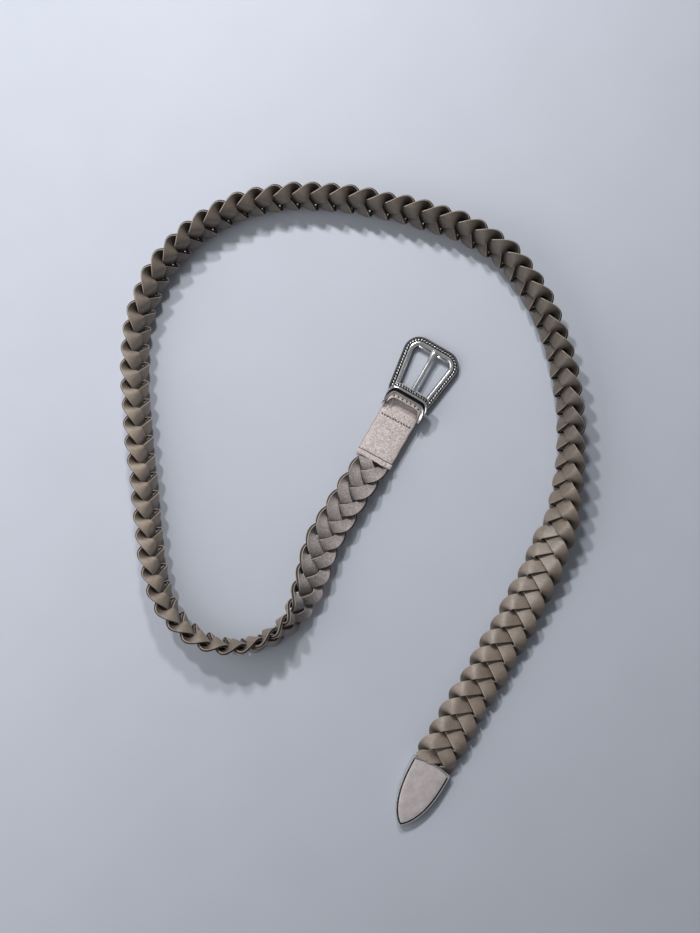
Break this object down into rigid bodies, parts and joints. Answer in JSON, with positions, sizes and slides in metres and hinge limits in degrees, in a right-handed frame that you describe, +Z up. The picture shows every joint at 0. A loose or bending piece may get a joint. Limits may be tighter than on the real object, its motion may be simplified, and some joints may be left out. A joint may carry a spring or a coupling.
{
  "type": "braided leather belt",
  "caption": "Flat braided leather belt with a cast prong buckle, an arched keeper and a shield-shaped metal tip, lying in an open curve.",
  "frame": {"origin": "centre of the lying belt's box, on the surface that it lies on", "axes": "+Z up from the surface; the buckle's bar lies along X and its prong points along +Y"},
  "size_m": [0.3238, 0.3526, 0.0238],
  "materials": {
    "strand_leather": "satin taupe grain leather, suede on its back",
    "tab_leather": "brushed pinkish beige suede",
    "old_silver": "antiqued silver plate, blackened in its hollows",
    "tip_silver": "satin antiqued silver plate"
  },
  "bodies": {
    "strap": {"strand_1": "strand_leather", "strand_2": "strand_leather", "strand_3": "strand_leather", "tab": "tab_leather", "keeper_loop": "old_silver", "keeper_lining": "tab_leather", "tip": "tip_silver"},
    "buckle": {"buckle_frame": "old_silver"},
    "tongue": {"prong": "old_silver"}
  },
  "joints": [
    {"name": "buckle_hinge", "type": "hinge", "parent": "strap", "child": "buckle", "pos_m": [0.01972, 0.06275, 0.00378], "axis": [1, 0, 0], "range_deg": [-25, 20]},
    {"name": "prong_hinge", "type": "hinge", "parent": "buckle", "child": "tongue", "pos_m": [0.01972, 0.06275, 0.00378], "axis": [1, 0, 0], "range_deg": [0, 32]}
  ]
}
